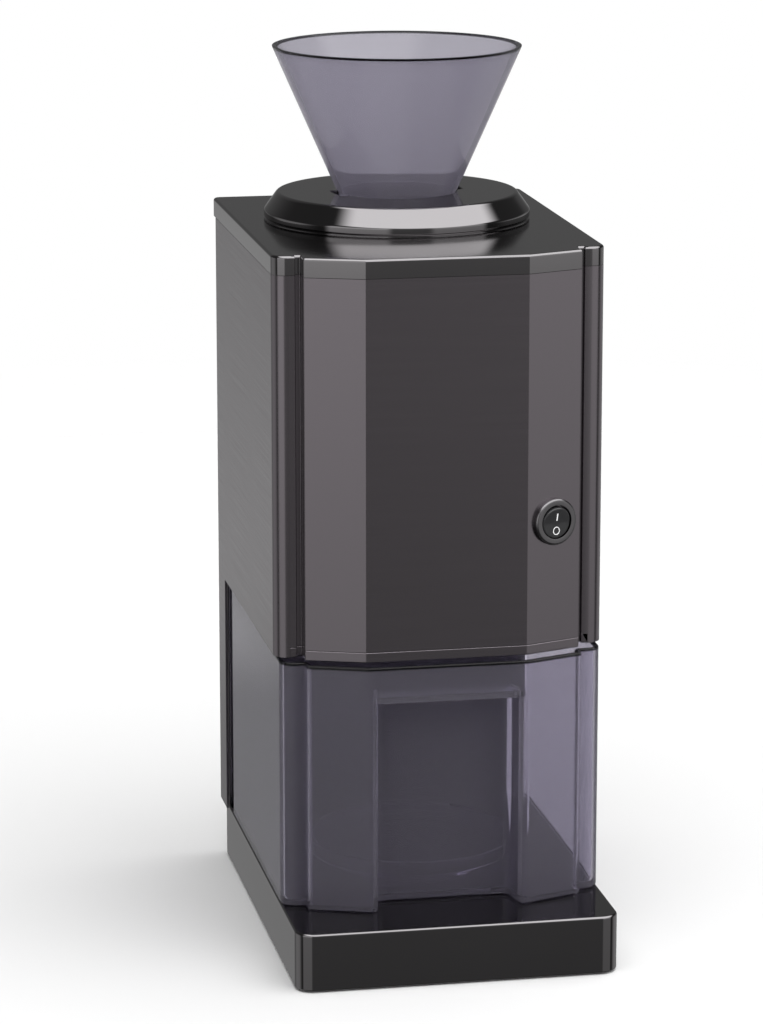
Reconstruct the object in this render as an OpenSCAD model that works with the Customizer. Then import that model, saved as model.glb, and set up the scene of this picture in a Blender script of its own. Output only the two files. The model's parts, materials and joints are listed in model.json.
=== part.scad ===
// Countertop electric ice crusher: funnel on top, dark steel housing,
// slide-out ice container standing on a gloss base.
// Right-handed frame, +Z up, front faces -Y, origin on the floor at the centre
// of the overall footprint. Millimetres.

/* [Housing] */
// Width of the steel housing
housing_w = 175.2; // [172:0.2:176]
// Thickness of the steel sheet
sheet_t = 1.2; // [1:0.1:1.4]
// Height of the housing's lower edge
housing_z0 = 165.6; // [163:0.2:168]
// Height of the housing's upper edge
housing_z1 = 367; // [365:0.5:368]
// Front of the middle facet
front_y = -93.6; // [-95:0.2:-92]
// Front of the corner pillars
pillar_y = -75.4; // [-77:0.2:-74]
// Rear of the housing
housing_rear = 121.4; // [120:0.2:123]
// Half width of the middle facet
facet_in = 42.7; // [41:0.1:44]
// Angle of the side facets
facet_angle = 19.7; // [18:0.1:21]
// Radius of the pillars' outer corners
pillar_r = 8; // [7:0.1:8]
// Height of the lower trim strip
trim_h = 5.5; // [4:0.1:7]

/* [Base] */
// Width of the base
base_w = 171.6; // [170:0.2:173]
// Front of the base
base_front = -130; // [-132:0.5:-128]
// Rear of the base
base_rear = 119; // [118:0.5:119]
// Height of the base's top face
base_top = 31.8; // [30:0.1:32]
// Radius of the base's upright corners
base_r = 10; // [8:0.5:12]

/* [Cover and collar] */
// Height of the cover's top face
cover_top = 377.2; // [376:0.1:378]
// Rear of the cover
cover_rear = 130; // [128:0.5:131]
// Largest radius of the collar
collar_r = 71.9; // [70:0.1:73]
// Height of the collar's top face
collar_top = 391.5; // [391:0.1:392]
// Distance of the funnel's axis behind the origin
axis_y = 43.4; // [43:0.1:44]

/* [Funnel] */
// Radius of the funnel's rim
funnel_r = 67.2; // [66:0.1:68]
// Radius of the funnel's neck
neck_r = 31.4; // [31:0.1:31.5]
// Height of the funnel's rim
total_h = 470; // [465:1:475]
// Wall of the funnel
funnel_wall = 2.5; // [2:0.1:3]

/* [Ice container] */
// Width of the container
container_w = 171.2; // [168:0.4:171.2]
// How far the container stands in front of the housing
container_fwd = 7; // [5:0.5:8]
// Wall of the container
container_wall = 2.5; // [2.2:0.1:2.8]
// Height of the container's rim
container_top = 164.4; // [162:0.2:164.6]
// Rear of the container
container_rear = 90; // [88:0.5:92]
// Half width of the finger recess
recess_w = 37.7; // [36:0.1:38]
// Top of the finger recess
recess_top = 145.3; // [143:0.2:147]
// Depth of the finger recess
recess_d = 18; // [16:0.5:18]

/* [Drive] */
// Teeth of the gear on the cutter shaft
gear_teeth = 60; // [60]
// Teeth of the pinion on the motor shaft
pinion_teeth = 14; // [14]
// Gear module
gear_m = 1; // [1]
// Radius of the cutter shaft
shaft_r = 6; // [6]
// Radius of the motor shaft
motor_shaft_r = 4; // [4]
// Running clearance of the shafts in their bearings
running = 0.05; // [0.02:0.01:0.08]
// Radius of the motor
motor_r = 36; // [36]

/* [Hidden] */
$fn = 64;

eps = 0.01;
half_w = housing_w / 2;
inner_x = half_w - sheet_t;
step_x = 73;
groove_w = 2.9;
groove_d = 2.4;
facet_y = front_y + (step_x - facet_in) * tan(facet_angle);
cover_t = 2.5;
trim_z1 = housing_z0 + trim_h;
flange_w = 10;
column_y = 97.3;
panel_y = housing_rear - 2 * sheet_t;

foot_h = 1.4;
plinth_z0 = 1;
plinth_wall = 3;
plate_z1 = foot_h + 2.8;
foot_r = 9;
foot_x = 66;
foot_ys = [-112, 101];
base_bosses = [[-48, -116], [48, -116], [-72, -6], [72, -6], [-48, 106], [48, 106]];

gear_r = gear_m * gear_teeth / 2;
pinion_r = gear_m * pinion_teeth / 2;
pinion_gap = 0.08;
motor_y = axis_y + gear_r + pinion_r + pinion_gap;
chassis_z = 261;
chassis_t = 3;
case_z0 = chassis_z + chassis_t;
case_z1 = 290;
case_cover_z1 = 293;
case_ear_r = 39;
drum_z0 = 296;
drum_z1 = 362;
drum_r = 60;
drum_wall = 3;
drum_floor = 4;
ear_pcr = 64;
lid_t = 3;
window_w = 56;
window_h = 30;
tube_r = 38;
tube_in_r = 36.2;
hole_r = 32;
slot_r = 35.8;
slot_span = 40;
collar_lip = 3;

chute_w = 64;
chute_y0 = -62;
chute_y1 = -18;
chute_wall = 2;
chute_top = 335;

switch_s = 15.9;
switch_pos = [facet_in + switch_s * cos(facet_angle), front_y + switch_s * sin(facet_angle), 235.5];
bezel_r = 12.4;
bezel_in_r = 8.9;
bezel_h = 3;
rocker_r = 8.5;
rocker_pivot = 1;
rocker_tilt = 7;
blade_gap = 4.5;
blade_end = 26;

gland_x = 52;
gland_z = 56;
cord_hole_r = 4;

cone_slope = 0.4426;
cone_z0 = collar_top + 0.2;
cone_r0 = funnel_r - (total_h - cone_z0) * cone_slope;
cone_side = funnel_wall / cos(atan(cone_slope));

container_z0 = base_top + 0.2;
container_floor = 2.5;
step_r = 56;
step_h = 7.5;
step_y = 5;
lip_h = 5.9;
lip_out = 1.8;

bell_h = 18;
stator_z0 = 207;
stator_z1 = 243;
bolt_pcr = 32;
bearing_r = 8;
rotor_r = 17.6;
stator_in_r = 18.2;

steel_dark = "#5b5759";
gloss_black = "#1a191b";
smoke = "#5a5664";
zinc = "#b5b7ba";
copper = "#a8683a";
grey_plastic = "#3b3c3f";

// ---- shared outlines -------------------------------------------------------
function unit2(v) = v / norm(v);
function cross2(a, b) = a[0] * b[1] - a[1] * b[0];
function left_normal(a, b) = let (u = unit2(b - a)) [-u[1], u[0]];
function line_meet(p, u, q, v) = p + u * cross2(q - p, v) / cross2(u, v);
// A counter-clockwise outline moved inwards by d (outwards if d is negative).
function inset(pts, d) = [
  for (i = [0 : len(pts) - 1])
    let (
      n = len(pts),
      a = pts[(i + n - 1) % n],
      b = pts[i],
      c = pts[(i + 1) % n]
    )
    line_meet(b + left_normal(a, b) * d, b - a, b + left_normal(b, c) * d, c - b)
];
function reversed_mirror(pts) = [for (i = [len(pts) - 1 : -1 : 0]) [-pts[i][0], pts[i][1]]];
// Right half of the faceted front, from the middle facet to the side.
function front_half(hw, fwd, groove) = concat(
  [[facet_in, front_y - fwd], [step_x, facet_y - fwd]],
  groove
    ? [[step_x, pillar_y + groove_d], [step_x + groove_w, pillar_y + groove_d],
       [step_x + groove_w, pillar_y]]
    : [[step_x, pillar_y - fwd]],
  [[hw, pillar_y - fwd]]
);
function faceted_outline(hw, fwd, rear, groove) = concat(
  front_half(hw, fwd, groove), [[hw, rear], [-hw, rear]],
  reversed_mirror(front_half(hw, fwd, groove))
);

// Faceted plan of the housing, moved inwards by d, with rounded pillar corners.
module plan(d = 0, hw = half_w, fwd = 0, rear = housing_rear, groove = true, r = pillar_r) {
  difference() {
    polygon(inset(faceted_outline(hw, fwd, rear, groove), d));
    for (s = [-1, 1])
      translate([s * (hw - r + (r + 5) / 2), pillar_y - fwd + r - (r + 5) / 2])
        square(r + 5, center = true);
  }
  for (s = [-1, 1])
    translate([s * (hw - r), pillar_y - fwd + r]) circle(r - d);
}

module round_rect(x0, x1, y0, y1, r) {
  translate([x0 + r, y0]) square([x1 - x0 - 2 * r, y1 - y0]);
  translate([x0, y0 + r]) square([x1 - x0, y1 - y0 - 2 * r]);
  for (x = [x0 + r, x1 - r], y = [y0 + r, y1 - r]) translate([x, y]) circle(r);
}

module slab(z0, z1) {
  translate([0, 0, z0]) linear_extrude(z1 - z0) children();
}

module block(x0, x1, y0, y1, z0, z1) {
  translate([x0, y0, z0]) cube([x1 - x0, y1 - y0, z1 - z0]);
}

module disc(r, z0, z1) {
  translate([0, 0, z0]) cylinder(r = r, h = z1 - z0);
}

module ring(r_out, r_in, z0, z1) {
  difference() {
    disc(r_out, z0, z1);
    disc(r_in, z0 - 1, z1 + 1);
  }
}

module at_axis() {
  translate([0, axis_y, 0]) children();
}

module at_motor() {
  translate([0, motor_y, 0]) children();
}

// Four places on a circle, on the diagonals.
module diagonals(r) {
  for (a = [45 : 90 : 315]) rotate(a) translate([r, 0, 0]) rotate(-a) children();
}

// A screw with its head's underside at z = 0, shank pointing down.
module screw(r, length, head_r, head_h) {
  translate([0, 0, -length]) cylinder(r = r, h = length);
  difference() {
    cylinder(r = head_r, h = head_h);
    translate([0, 0, head_h / 2]) rotate(45) {
      cube([head_r * 1.2, 0.8, head_h * 1.2], center = true);
      cube([0.8, head_r * 1.2, head_h * 1.2], center = true);
    }
  }
}

// Local frame of the switch: -Y points out of the right facet.
module at_switch() {
  translate(switch_pos) rotate([0, 0, facet_angle]) children();
}

// Cylinder along local Y.
module barrel(r, y0, y1) {
  translate([0, y0, 0]) rotate([-90, 0, 0]) cylinder(r = r, h = y1 - y0);
}

// ---- base ------------------------------------------------------------------
module base_outline(d) {
  round_rect(-base_w / 2 + d, base_w / 2 - d, base_front + d, base_rear - d, base_r - d);
}

module at_base_bosses() {
  for (p = base_bosses) translate([p[0], p[1], 0]) children();
}

module base_plinth() {
  color(gloss_black) {
    difference() {
      slab(plinth_z0, base_top) base_outline(0);
      slab(plinth_z0 - 1, base_top - plinth_wall) base_outline(plinth_wall);
    }
    at_base_bosses() ring(4, 2, plate_z1, base_top - plinth_wall);
    for (x = [-36, 36])
      block(x - 1, x + 1, base_front + 2.5, base_rear - 2.5, 12, base_top - plinth_wall + eps);
  }
}

module base_plate() {
  color(grey_plastic)
    difference() {
      slab(foot_h, plate_z1) base_outline(plinth_wall + 0.3);
      at_base_bosses() {
        disc(2, 0, 10);
        disc(3.6, 0, foot_h + 1.3);
      }
      for (x = [-foot_x, foot_x], y = foot_ys) translate([x, y, 0]) disc(3, 0, 10);
      for (i = [-3 : 3]) block(i * 12 - 2.5, i * 12 + 2.5, -30, 30, 0, 10);
    }
}

module foot(x, y) {
  color("#232323") translate([x, y, 0]) {
    disc(foot_r, 0, foot_h);
    disc(2.9, foot_h - eps, plate_z1 + 0.2);
    translate([0, 0, plate_z1 + 0.2]) cylinder(r1 = 4, r2 = 2.4, h = 3);
  }
}

module base_screws() {
  color(zinc) at_base_bosses() translate([0, 0, foot_h + 1.3]) rotate([180, 0, 0])
    screw(1.9, 12, 3.2, 1.1);
}

// ---- housing ---------------------------------------------------------------
module trim_zone(gap) {
  block(-(half_w - pillar_r) - gap, half_w - pillar_r + gap, front_y - 1, pillar_y + 6,
    housing_z0 - 1, trim_z1 + gap);
}

module housing_wrap() {
  color(steel_dark)
    difference() {
      union() {
        slab(housing_z0, housing_z1) difference() {
          plan();
          plan(sheet_t, rear = housing_rear + 10);
        }
        for (s = [-1, 1]) {
          translate([s * (half_w - sheet_t / 2), 0, 0])
            block(-sheet_t / 2, sheet_t / 2, column_y, housing_rear, base_top, housing_z0 + 1);
          translate([s * (half_w - flange_w / 2), 0, 0])
            block(-flange_w / 2, flange_w / 2, housing_rear - sheet_t, housing_rear, base_top, housing_z1);
        }
      }
      trim_zone(0);
      at_switch() barrel(10.2, -5, 5);
      at_rear_screws() translate([0, 0, -4]) cylinder(r = 1.8, h = 8);
    }
}

module lower_trim() {
  color(steel_dark)
    intersection() {
      slab(housing_z0, trim_z1 - 0.15) difference() {
        plan();
        plan(2, groove = true);
      }
      trim_zone(-0.1);
    }
}

module housing_floor() {
  color(gloss_black)
    difference() {
      slab(housing_z0 + 0.6, housing_z0 + 3.6) plan(2.4, rear = panel_y + 2.2);
      block(-chute_w / 2 - 0.3, chute_w / 2 + 0.3, chute_y0 - 0.3, chute_y1 + 0.3, housing_z0 - 1,
        housing_z0 + 5);
      at_floor_screws() cylinder(r = 1.7, h = 20, center = true);
      translate([gland_x, 109, housing_z0]) cylinder(r = 9, h = 20, center = true);
    }
  // lugs that carry the floor on the side walls
  color(gloss_black) for (s = [-1, 1], y = [-50, 60])
    translate([s * 80, y, 0]) block(-3, 3, -6, 6, housing_z0 + 3.6 - eps, housing_z0 + 12);
}

module at_floor_screws() {
  for (x = [-74, 74], y = [-30, 80]) translate([x, y, housing_z0 + 0.6]) children();
}

module floor_screws() {
  color(zinc) at_floor_screws() translate([0, 0, 3]) screw(1.6, 3.6, 3, 1.6);
}

module column_front_panel() {
  color(gloss_black)
    difference() {
      block(-inner_x + 0.2, inner_x - 0.2, column_y, column_y + 2, base_top, housing_z0 + 0.4);
      for (x = [-60, 60]) translate([x, column_y, 50]) barrel(2, -3, 5);
    }
}

module at_rear_screws() {
  for (s = [-1, 1], z = [48, 150, 250, 350])
    translate([s * (half_w - flange_w / 2), housing_rear, z]) rotate([-90, 0, 0]) children();
}

module rear_panel() {
  color(steel_dark)
    difference() {
      block(-inner_x + 0.2, inner_x - 0.2, panel_y, housing_rear - sheet_t, base_top + 0.2,
        housing_z1 - 0.2);
      for (row = [0 : 8], s = [-1, 1])
        translate([s * 18, panel_y, 190 + row * 8]) block(-14, 14, -2, 5, 0, 3);
      translate([gland_x, panel_y, gland_z]) barrel(8, -2, 5);
      at_rear_screws() translate([0, 0, -6]) cylinder(r = 1.7, h = 8);
    }
}

module rear_screws() {
  color(zinc) at_rear_screws() screw(1.6, 5, 3, 1.6);
}

module cord_gland() {
  color("#161616")
    translate([gland_x, 0, gland_z]) difference() {
      union() {
        barrel(7.9, panel_y - 8, housing_rear);
        barrel(11, housing_rear - sheet_t, housing_rear + 2);
        translate([0, housing_rear + 2, 0]) rotate([-90, 0, 0]) cylinder(r1 = 9, r2 = 6.5, h = 5);
      }
      barrel(cord_hole_r, panel_y - 9, housing_rear + 10);
    }
}

module gland_nut() {
  color(grey_plastic)
    translate([gland_x, panel_y - 5, gland_z]) rotate([-90, 0, 0]) difference() {
      cylinder(r = 12, h = 5, $fn = 6);
      translate([0, 0, -1]) cylinder(r = 7.9, h = 7, $fn = 64);
    }
}

module top_cover() {
  color(gloss_black)
    difference() {
      union() {
        difference() {
          slab(housing_z1, cover_top) plan(0, rear = cover_rear);
          slab(housing_z1 - 1, cover_top - cover_t) plan(2, rear = cover_rear);
        }
        slab(housing_z1 - 5, housing_z1 + 1) difference() {
          plan(1.4, rear = panel_y + 1.2);
          plan(2.7, rear = panel_y + 1.2);
        }
        at_cover_screws() disc(5, housing_z1 - 3, cover_top - cover_t + eps);
      }
      at_axis() disc(tube_r + 0.4, housing_z1 - 10, cover_top + 1);
      at_cover_screws() disc(1.8, housing_z1 - 4, housing_z1 + 6);
      at_collar_screws() disc(2, housing_z1, cover_top + 1);
    }
}

module at_cover_screws() {
  for (x = [-74, 74], y = [-50, 95]) translate([x, y, 0]) children();
}

module cover_screws() {
  color(zinc) at_cover_screws() translate([0, 0, housing_z1 - 3]) rotate([180, 0, 0])
    screw(1.7, 8, 3.2, 1.6);
}

module at_collar_screws() {
  at_axis() diagonals(52) children();
}

// A quadratic curve from a to c, drawn towards b.
function bezier2(a, b, c, t) = a * (1 - t) * (1 - t) + b * 2 * t * (1 - t) + c * t * t;
collar_flat_r = 64.7;
collar_band_z = cover_top + 4.3;
collar_skin = 3.2;
// Outer side: a short upright band, a straight shoulder and a rounded edge to the flat top.
collar_side = concat(
  [[collar_r - 0.8, cover_top], [collar_r - 0.8, cover_top + 0.6], [collar_r, cover_top + 1.4],
    [collar_r, collar_band_z], [collar_r - 0.5, collar_band_z + 0.9]],
  [for (i = [0 : 4])
    bezier2([collar_flat_r + 1, collar_top - 1.3], [collar_flat_r, collar_top], [collar_flat_r - 1.4, collar_top], i / 4)]
);

module collar() {
  color(gloss_black)
    difference() {
      union() {
        at_axis() rotate_extrude($fn = 96) difference() {
          polygon(concat(collar_side, [[hole_r, collar_top], [hole_r, cover_top]]));
          polygon([[tube_r, cover_top - 1], [tube_r, collar_top - collar_lip],
            [collar_flat_r - 4, collar_top - collar_lip], [collar_r - collar_skin, cover_top + 4],
            [collar_r - collar_skin, cover_top - 1]]);
          translate([0, cover_top - 1]) square([tube_in_r, collar_top - collar_lip - cover_top + 1]);
        }
        at_axis() ring(tube_r, tube_in_r, housing_z1 - 1, collar_top - collar_lip + eps);
        at_collar_screws() ring(5, 1.9, cover_top, collar_top - collar_lip + eps);
      }
      at_axis() for (a = [180, 0]) rotate(a - slot_span / 2 + 12)
        ring_sector(hole_r - 1, slot_r, slot_span, collar_top - collar_lip - 1, collar_top + 1);
    }
}

// Part of a ring that starts on the +X axis and spans the angle a, under 90 degrees.
module ring_sector(r_in, r_out, a, z0, z1) {
  intersection() {
    ring(r_out, r_in, z0, z1);
    slab(z0 - 1, z1 + 1) polygon([[0, 0], [2 * r_out, 0],
      [2 * r_out * cos(a / 2), 2 * r_out * sin(a / 2)], [2 * r_out * cos(a), 2 * r_out * sin(a)]]);
  }
}

module collar_gasket() {
  color("#3a3a3a") at_axis() ring(tube_r, 34, drum_z1 + lid_t, housing_z1 - 1);
}

// ---- switch ----------------------------------------------------------------
module switch_housing() {
  color(gloss_black) at_switch() {
    difference() {
      union() {
        barrel(bezel_r, -bezel_h, 0);
        barrel(10, 0, 17);
      }
      barrel(bezel_in_r, -bezel_h - 1, 14);
    }
    // trunnions that the rocker turns on
    for (s = [-1, 1]) translate([s * (bezel_in_r - 0.7), rocker_pivot + 6, 0])
      cube([1.6, 3, 3], center = true);
  }
}

module switch_terminals() {
  color(copper) at_switch() for (i = [-1 : 1]) translate([0, 0, i * blade_gap])
    block(-2.4, 2.4, 17, blade_end, -0.4, 0.4);
}

module rocker() {
  front = -3.6;
  rise = 0.8;
  color("#202022") at_switch() translate([0, rocker_pivot, 0]) rotate([rocker_tilt, 0, 0])
    intersection() {
      barrel(rocker_r, front - 2, 3);
      rotate([0, 90, 0]) cylinder(r = rocker_r + 0.2, h = 2 * rocker_r, center = true);
      translate([-rocker_r, 0, 0]) rotate([90, 0, 90]) linear_extrude(2 * rocker_r)
        polygon([[2.5, -rocker_r - 1], [2.5, rocker_r + 1], [front - rise, rocker_r + 1], [front, 0],
          [front - rise, -rocker_r - 1]]);
    }
}

// ---- chassis, gear case and chamber ----------------------------------------
module chassis_plate() {
  x = inner_x - 0.2;
  color(zinc)
    difference() {
      union() {
        block(-x, x, -5, panel_y - 0.3, chassis_z, chassis_z + chassis_t);
        for (s = [-1, 1]) translate([s * (x - 0.75), 0, 0])
          block(-0.75, 0.75, -5, panel_y - 0.3, chassis_z - 20, chassis_z + eps);
      }
      at_motor() {
        disc(motor_shaft_r + 1, chassis_z - 1, case_z0 + 1);
        diagonals(bolt_pcr) disc(2.1, chassis_z - 1, case_z0 + 1);
      }
      translate([70, 60, 0]) disc(8, chassis_z - 1, case_z0 + 1);
      translate([-70, 60, 0]) disc(8, chassis_z - 1, case_z0 + 1);
    }
}

module case_outline(d) {
  translate([0, axis_y]) circle(36 - d);
  translate([0, motor_y]) circle(15 - d);
  translate([-15 + d, axis_y]) square([30 - 2 * d, motor_y - axis_y]);
}

module case_ears() {
  at_axis() diagonals(case_ear_r) circle(4.5);
}

module gear_case() {
  color("#8a8c90")
    difference() {
      slab(case_z0, case_z1) {
        case_outline(0);
        case_ears();
      }
      difference() {
        slab(case_z0 + 3, case_z1 + 1) case_outline(3);
        at_axis() disc(13, case_z0, case_z0 + 6);
      }
      at_axis() disc(10, case_z0 - 1, case_z1 + 1);
      at_axis() diagonals(case_ear_r) disc(1.6, case_z0 + 6, case_z1 + 1);
      at_motor() disc(motor_shaft_r + 1, case_z0 - 1, case_z0 + 5);
    }
}

module gear_case_cover() {
  color("#8a8c90")
    difference() {
      slab(case_z1, case_cover_z1) {
        case_outline(0);
        case_ears();
      }
      at_axis() disc(10, case_z1 - 1, case_cover_z1 + 1);
      at_axis() diagonals(case_ear_r) disc(1.7, case_z1 - 1, case_cover_z1 + 1);
    }
}

module gear_case_screws() {
  color(zinc) at_axis() diagonals(case_ear_r) translate([0, 0, case_cover_z1]) screw(1.5, 18, 2.8, 2);
}

module drum_standoffs() {
  color(zinc) at_axis() diagonals(ear_pcr) ring(5, 2, case_z0, drum_z0);
}

module drum_window() {
  block(-window_w / 2, window_w / 2, chute_y1 - chute_wall - 1, axis_y - 30, drum_z0 + drum_floor,
    drum_z0 + drum_floor + window_h);
}

module chamber_drum() {
  color("#c9ccd1")
    difference() {
      at_axis() {
        disc(drum_r, drum_z0, drum_z1);
        for (z = [drum_z0, drum_z1 - 8]) diagonals(ear_pcr) disc(6.5, z, z + 8);
      }
      at_axis() {
        disc(drum_r - drum_wall, drum_z0 + drum_floor, drum_z1 + 1);
        disc(10, drum_z0 - 1, drum_z0 + 10);
        diagonals(ear_pcr) disc(2, drum_z0 - 1, drum_z1 + 1);
        at_fixed_blades() for (z = [8, 30]) translate([drum_r - 8, 0, z]) rotate([0, 90, 0])
          cylinder(r = 2.1, h = 12);
      }
      drum_window();
    }
}

module drum_screws() {
  color(zinc) at_axis() diagonals(ear_pcr) translate([0, 0, drum_z0 + 8]) screw(1.9, 22, 3.6, 2.4);
}

module lid_outline() {
  circle(drum_r);
  diagonals(ear_pcr) circle(6.5);
}

module chamber_lid() {
  color("#c9ccd1") at_axis()
    difference() {
      slab(drum_z1, drum_z1 + lid_t) lid_outline();
      disc(34, drum_z1 - 1, drum_z1 + lid_t + 1);
      diagonals(ear_pcr) disc(2, drum_z1 - 1, drum_z1 + lid_t + 1);
    }
}

module lid_screws() {
  color(zinc) at_axis() diagonals(ear_pcr) translate([0, 0, drum_z1 + lid_t]) screw(1.9, 10, 3.6, 2.4);
}

// Places of the fixed blades round the chamber, clear of the front window.
module at_fixed_blades() {
  for (a = [0, 90, 180]) rotate(a) translate([0, 0, 312]) children();
}

module fixed_blades() {
  color(zinc) at_axis() at_fixed_blades() difference() {
    rotate([90, 0, 0]) translate([0, 0, -2.5]) linear_extrude(5)
      polygon([[56.8, 0], [56.8, 38], [53, 38], [49, 32], [53, 26], [49, 20], [53, 14], [49, 8], [52, 0]]);
    for (z = [8, 30]) translate([50, 0, z]) rotate([0, 90, 0]) translate([0, 0, 0.5])
      cylinder(r = 1.9, h = 12);
  }
}

module fixed_blade_screws() {
  color(zinc) at_axis() at_fixed_blades() for (z = [8, 30]) translate([drum_r + 0.2, 0, z])
    rotate([0, 90, 0]) screw(1.8, 8, 3.4, 2.2);
}

module discharge_chute() {
  x = chute_w / 2;
  z0 = housing_z0 - 0.4;
  throat_top = drum_z0 + drum_floor + window_h + 3;
  color(gloss_black)
    difference() {
      union() {
        block(-x, x, chute_y0, chute_y1, z0, chute_top);
        block(-x, x, chute_y1 - 1, -6, drum_z0 + 1, throat_top);
      }
      block(-x + chute_wall, x - chute_wall, chute_y0 + chute_wall, chute_y1 - chute_wall, z0 - 1,
        chute_top - chute_wall);
      drum_window();
      at_axis() disc(drum_r + 0.05, drum_z0 - 10, chute_top + 10);
    }
}

module shaft_seal() {
  color("#3a3a3a") at_axis() ring(17, 10, case_cover_z1, drum_z0);
}

module upper_bearing() {
  color(copper) at_axis() ring(10, shaft_r + running, case_z1 + eps, drum_z0 + drum_floor);
}

module lower_bearing() {
  color(copper) at_axis() ring(10, shaft_r + running, case_z0, case_z0 + 6);
}

// ---- gears -----------------------------------------------------------------
function involute(rb, r) = let (a = acos(rb / r)) tan(a) * 180 / PI - a;

// Outline of an involute spur gear; a tooth points along +X.
module gear_2d(teeth, slack) {
  pitch = gear_m * teeth / 2;
  rb = pitch * cos(20);
  tip = pitch + 0.9 * gear_m;
  root = pitch - 1.25 * gear_m;
  start = max(rb, root) + eps;
  base_half = 90 / teeth + involute(rb, pitch) - slack * 180 / PI / pitch;
  radii = [start, pitch, tip];
  flank = [for (r = radii) [r, base_half - involute(rb, r)]];
  foot = [[root, base_half]];
  half = root < rb ? concat(foot, flank) : [for (r = [root + eps, pitch, tip]) [r, base_half - involute(rb, r)]];
  n = len(half);
  polygon([
    for (k = [0 : teeth - 1])
      for (i = [0 : 2 * n - 1])
        let (
          p = i < n ? half[i] : half[2 * n - 1 - i],
          a = k * 360 / teeth + (i < n ? -p[1] : p[1])
        )
        p[0] * [cos(a), sin(a)]
  ]);
}

module drive_gear() {
  color("#d9d4c4") at_axis() difference() {
    union() {
      slab(274, 284) rotate(90) gear_2d(gear_teeth, 0.12);
      disc(11, 271, 287);
    }
    disc(shaft_r, 270, 288);
    for (a = [0 : 60 : 300]) rotate(a) translate([19, 0, 0]) disc(5, 270, 288);
  }
}

module pinion() {
  color("#8f9296") at_motor() difference() {
    slab(273, 285) rotate(-90 + 180 / pinion_teeth) gear_2d(pinion_teeth, 0.1);
    disc(motor_shaft_r, 270, 290);
  }
}

// ---- cutter ----------------------------------------------------------------
module cutter_shaft() {
  color(zinc) at_axis() {
    disc(shaft_r, case_z0 + 0.3, 320);
    disc(9.5, drum_z0 + drum_floor + 0.4, 306);
  }
}

module rotor_disc() {
  color(zinc) at_axis() difference() {
    ring(46, shaft_r, 306, 311);
    for (a = [30 : 60 : 330]) rotate(a) translate([33, 0, 0]) disc(3, 300, 320);
  }
}

module crusher_blades() {
  color(zinc) at_axis() for (a = [0 : 120 : 240]) rotate(a)
    translate([0, 3, 0]) rotate([90, 0, 0]) linear_extrude(6)
      polygon([[10, 311], [45, 311], [47, 322], [40, 326], [36, 321], [30, 329], [25, 323], [18, 332],
        [10, 332]]);
}

module sweeper() {
  color(zinc) at_axis() difference() {
    for (a = [60 : 120 : 300]) rotate(a) block(11, 54, -2.5, 2.5, 301, 306);
    disc(11.5, 300, 307);
  }
}

module rotor_nut() {
  color(zinc) at_axis() difference() {
    translate([0, 0, 311]) cylinder(r = 9, h = 7, $fn = 6);
    disc(shaft_r, 310, 320);
  }
}

// ---- motor -----------------------------------------------------------------
module motor_top_bell() {
  z1 = stator_z1 + bell_h;
  color("#9da0a4") at_motor() difference() {
    disc(motor_r, stator_z1, z1);
    difference() {
      disc(motor_r - 2, stator_z1 - 1, z1 - 3);
      disc(12, z1 - 9, z1);
    }
    disc(bearing_r, z1 - 12, z1 + 1);
    diagonals(bolt_pcr) disc(2.1, z1 - 5, z1 + 1);
    for (a = [0 : 30 : 330]) rotate(a) block(motor_r - 6, motor_r + 2, -2, 2, stator_z1 + 4, z1 - 5);
  }
}

module motor_bottom_bell() {
  z0 = stator_z0 - bell_h;
  color("#9da0a4") at_motor() difference() {
    disc(motor_r, z0, stator_z0);
    difference() {
      disc(motor_r - 2, z0 + 3, stator_z0 + 1);
      disc(12, z0, z0 + 9);
    }
    disc(bearing_r, z0 - 1, z0 + 12);
    diagonals(bolt_pcr) disc(2.1, z0 - 1, z0 + 5);
    for (a = [0 : 30 : 330]) rotate(a) block(motor_r - 6, motor_r + 2, -2, 2, z0 + 5, stator_z0 - 4);
  }
}

module stator_core() {
  color("#6f7277") at_motor() difference() {
    ring(motor_r, stator_in_r, stator_z0, stator_z1);
    for (a = [0 : 45 : 315]) rotate(a) {
      block(20, 27, -4, 4, stator_z0 - 1, stator_z1 + 1);
      block(17, 21, -1, 1, stator_z0 - 1, stator_z1 + 1);
    }
    diagonals(bolt_pcr) disc(2.1, stator_z0 - 1, stator_z1 + 1);
  }
}

module stator_windings() {
  color(copper) at_motor() {
    ring(28.5, 20.5, stator_z1 + 0.3, stator_z1 + 6);
    ring(28.5, 20.5, stator_z0 - 6, stator_z0 - 0.3);
    for (a = [0 : 45 : 315]) rotate(a)
      block(21.2, 26.6, -3.6, 3.6, stator_z0 - 1, stator_z1 + 1);
  }
}

module motor_tie_bolts() {
  color(zinc) at_motor() diagonals(bolt_pcr)
    translate([0, 0, stator_z0 - bell_h]) rotate([180, 0, 0])
      screw(2, stator_z1 - stator_z0 + 2 * bell_h + 2.6, 3.6, 2.2);
}

module motor_top_bearing() {
  color(zinc) at_motor() ring(bearing_r, motor_shaft_r + running, stator_z1 + bell_h - 8, stator_z1 + bell_h);
}

module motor_bottom_bearing() {
  color(zinc) at_motor() ring(bearing_r, motor_shaft_r + running, stator_z0 - bell_h, stator_z0 - bell_h + 8);
}

module motor_shaft() {
  color("#aeb1b5") at_motor() disc(motor_shaft_r, 174, 288);
}

module rotor_core() {
  color("#7b7e84") at_motor() {
    ring(rotor_r, motor_shaft_r, stator_z0 + 1, stator_z1 - 1);
    ring(15, 8, stator_z0 - 3, stator_z1 + 3);
  }
}

module cooling_fan() {
  color("#2b2c2f") at_motor() {
    ring(28, motor_shaft_r, 183, 185);
    ring(9, motor_shaft_r, 175, 183 + eps);
    for (a = [0 : 40 : 320]) rotate(a) block(8.5, 27, -0.8, 0.8, 176, 183 + eps);
  }
}

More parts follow.
